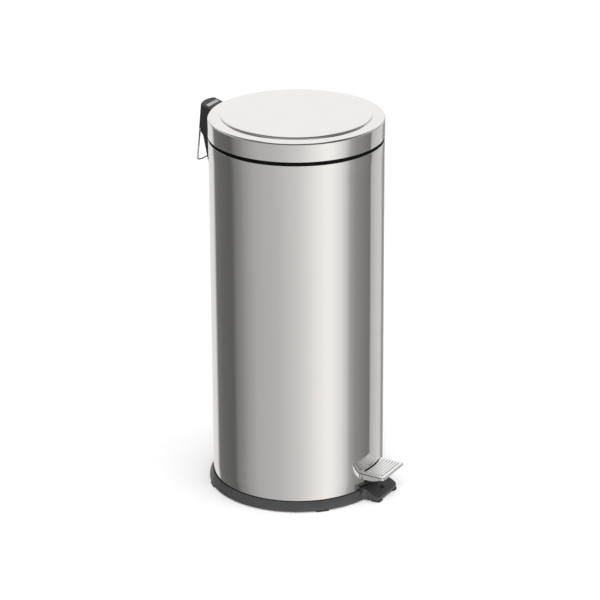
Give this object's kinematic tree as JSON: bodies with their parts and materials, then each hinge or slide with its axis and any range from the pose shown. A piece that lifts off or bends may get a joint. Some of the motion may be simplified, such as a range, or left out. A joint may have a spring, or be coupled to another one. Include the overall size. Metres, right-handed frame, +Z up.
{
  "type": "pedal bin",
  "caption": "Tall round stainless steel pedal bin with hinged domed lid, front foot pedal, black base ring, rear hinge housing with wire carry bail, and lift-out inner bucket.",
  "frame": {"origin": "on the floor at the body's vertical axis", "axes": "+Z up along the body axis, -Y towards the foot pedal, +Y towards the lid hinge, +X to the right of someone facing the pedal"},
  "size_m": [0.3036, 0.363, 0.652],
  "materials": {
    "brushed_stainless": "satin stainless sheet, slightly mirrored",
    "mirror_stainless": "bright stainless sheet",
    "black_plastic": "fine matt moulding",
    "charcoal_plastic": "fine matt moulding",
    "grey_plastic": "satin moulding",
    "rubber_black": "matt",
    "zinc_steel": "zinc plated",
    "galvanised_sheet": "galvanised",
    "chromed_wire": "bright"
  },
  "bodies": {
    "bin": {"body_shell": "brushed_stainless", "base": "charcoal_plastic", "floor_plate": "galvanised_sheet", "base_screws": "zinc_steel", "lever_axle": "zinc_steel", "axle_clips": "zinc_steel", "bracket_screws": "zinc_steel", "top_collar": "black_plastic", "hinge_bracket": "black_plastic", "housing_screws": "zinc_steel", "hinge_pin": "zinc_steel", "guide_rivets": "mirror_stainless", "foot_rear_right": "rubber_black", "foot_rear_left": "rubber_black", "foot_front_left": "rubber_black", "foot_front_right": "rubber_black", "tab_foot_left": "rubber_black", "tab_foot_right": "rubber_black", "axle_bracket_left": "zinc_steel", "axle_bracket_right": "zinc_steel", "rod_guide_lower": "black_plastic", "rod_guide_upper": "black_plastic"},
    "lid": {"lid_shell": "brushed_stainless", "lid_ring": "black_plastic", "lid_bumpers": "rubber_black", "hinge_cap": "black_plastic", "cap_rivets": "zinc_steel", "label_plate": "grey_plastic"},
    "pedal": {"pedal_lever": "zinc_steel", "pedal_tread": "mirror_stainless", "tread_nuts": "zinc_steel"},
    "rod": {"push_rod": "zinc_steel", "rod_collar": "zinc_steel"},
    "bail": {"carry_bail": "chromed_wire"},
    "bucket": {"inner_bucket": "galvanised_sheet", "bucket_ear_left": "zinc_steel", "bucket_ear_right": "zinc_steel", "ear_rivets": "zinc_steel"},
    "bucket_bail": {"bucket_handle": "zinc_steel", "handle_grip": "black_plastic"}
  },
  "joints": [
    {"name": "lid_hinge", "type": "hinge", "parent": "bin", "child": "lid", "pos_m": [0, 0.16, 0.636], "axis": [-1, 0, 0], "range_deg": [0, 80]},
    {"name": "pedal_hinge", "type": "hinge", "parent": "bin", "child": "pedal", "pos_m": [0, -0.04, 0.033], "axis": [1, 0, 0], "range_deg": [0, 8]},
    {"name": "rod_slide", "type": "slide", "parent": "bin", "child": "rod", "axis": [0, 0, 1], "range_m": [0, 0.0247]},
    {"name": "bail_hinge", "type": "hinge", "parent": "bin", "child": "bail", "pos_m": [0, 0.17, 0.6042], "axis": [1, 0, 0], "range_deg": [-4, 165]},
    {"name": "bucket_lift", "type": "slide", "parent": "bin", "child": "bucket", "axis": [0, 0, 1], "range_m": [0, 0.006]},
    {"name": "bucket_handle_hinge", "type": "hinge", "parent": "bucket", "child": "bucket_bail", "pos_m": [0, 0, 0.597], "axis": [-1, 0, 0], "range_deg": [0, 12]}
  ],
  "couplings": [
    {"joint": "pedal_hinge", "follows": "lid_hinge", "ratio": 0.1},
    {"joint": "rod_slide", "follows": "lid_hinge", "m_per_rad": 0.01769}
  ]
}
